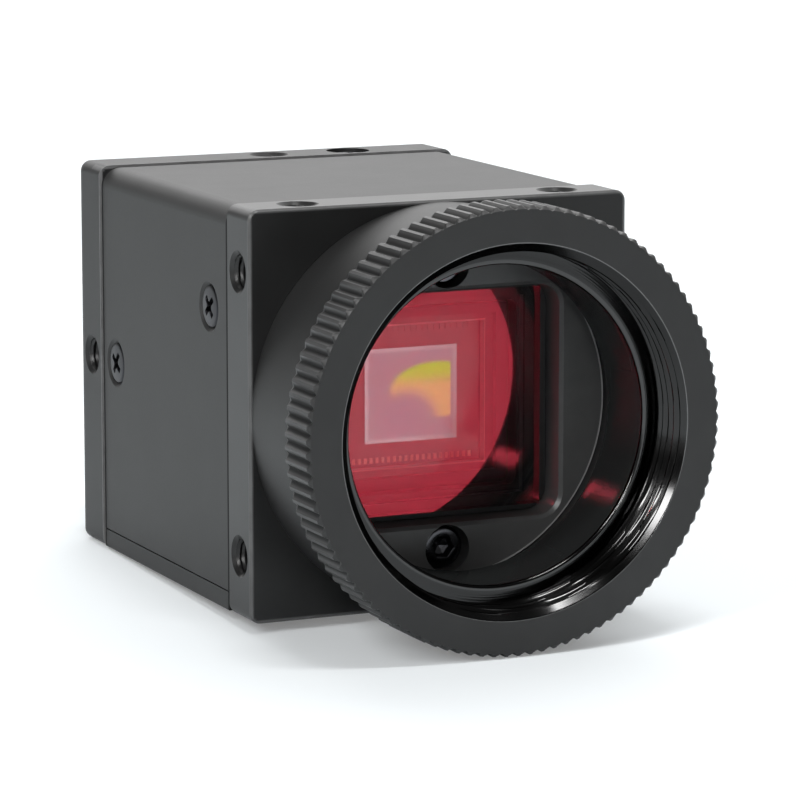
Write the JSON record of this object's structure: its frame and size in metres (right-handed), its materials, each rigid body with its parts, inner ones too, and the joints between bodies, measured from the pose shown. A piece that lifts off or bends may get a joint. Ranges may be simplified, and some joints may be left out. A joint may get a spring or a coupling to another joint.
{
  "type": "machine vision camera",
  "caption": "Small square industrial camera with a knurled screw lens mount, a red infrared cut filter over the sensor, and data and power sockets on its back.",
  "frame": {"origin": "centre of the lens mount's front face, on the optical axis", "axes": "+Y runs along the optical axis into the camera, +Z is the camera's top, +X is to the right when its front is looked at"},
  "size_m": [0.031, 0.0517, 0.031],
  "materials": {
    "bare_aluminium": "mill",
    "black_anodised": "fine blasted black anodised",
    "black_neck": "satin black anodised",
    "black_plastic": "moulded",
    "black_steel": "black oxide",
    "blue_plastic": "moulded",
    "board": "solder mask",
    "ceramic": "glazed ceramic",
    "chip": "moulded",
    "clear_glass": "polished",
    "filter_glass": "polished, red reflecting",
    "gold": "plated",
    "nickel": "nickel plated",
    "silicon": "polished silicon",
    "silicone": "matte",
    "thermal": "matte",
    "white_light": "clear moulded"
  },
  "bodies": {
    "camera": {"base_plate": "black_anodised", "base_screws": "black_steel", "board_screws": "black_steel", "clamp_screw": "black_steel", "cover": "black_anodised", "cover_screws": "black_steel", "filter_gasket": "silicone", "filter_holder": "black_anodised", "front_housing": "black_anodised", "front_spacers": "nickel", "heat_spreader": "bare_aluminium", "holder_screws": "black_steel", "interface_board": "board", "interface_link": "black_plastic", "ir_cut_filter": "filter_glass", "light_pipe": "white_light", "main_board": "board", "main_chip": "chip", "memory_chips": "chip", "rear_plate": "black_anodised", "rear_spacers": "nickel", "sensor_board": "board", "sensor_cover_glass": "clear_glass", "sensor_die": "silicon", "sensor_link": "black_plastic", "sensor_package": "ceramic", "sensor_pads": "gold", "socket_barrel": "nickel", "socket_flange": "nickel", "socket_insulator": "black_plastic", "socket_nut": "nickel", "socket_pins": "gold", "status_lamp": "white_light", "thermal_pad": "thermal", "usb_chip": "chip", "usb_contacts": "gold", "usb_insulator": "blue_plastic", "usb_shell": "nickel"},
    "shim": {"spacer_shim": "black_neck"},
    "ring": {"adapter_ring": "black_anodised"}
  },
  "joints": [
    {"name": "ring_travel", "type": "slide", "parent": "camera", "child": "shim", "axis": [0, -1, 0], "range_m": [0, 0.00397]},
    {"name": "ring_turn", "type": "hinge", "parent": "shim", "child": "ring", "pos_m": [0, 0, 0], "axis": [0, -1, 0], "range_deg": [0, 1800]}
  ],
  "couplings": [
    {"joint": "ring_turn", "follows": "ring_travel", "rad_per_m": 7915.8}
  ]
}
